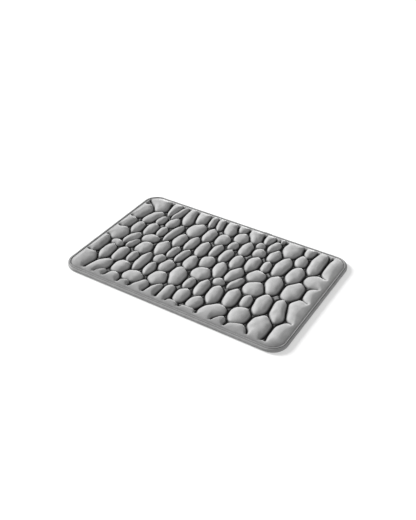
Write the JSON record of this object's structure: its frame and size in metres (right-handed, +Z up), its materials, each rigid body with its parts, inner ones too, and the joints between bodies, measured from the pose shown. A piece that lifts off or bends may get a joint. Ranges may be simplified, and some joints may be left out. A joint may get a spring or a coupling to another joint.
{
  "type": "bath mat",
  "caption": "Rectangular padded bath mat with rounded corners, a plush top embossed like nested pebbles, a bound and stitched edge, and a backing with grip dots.",
  "frame": {"origin": "on the floor, under the middle of the mat", "axes": "+X along the long side, +Y along the short side, +Z up through the mat to its plush face"},
  "size_m": [0.7, 0.45, 0.02],
  "materials": {
    "foam": "matte",
    "plush": "matte",
    "backing": "matte",
    "grip": "satin",
    "binding": "matte",
    "thread": "satin"
  },
  "bodies": {
    "root": {"foam_core": "foam", "plush_cover": "plush", "backing_cloth": "backing", "grip_dots": "grip", "edge_binding": "binding", "top_stitching": "thread", "bottom_stitching": "thread"}
  },
  "joints": []
}
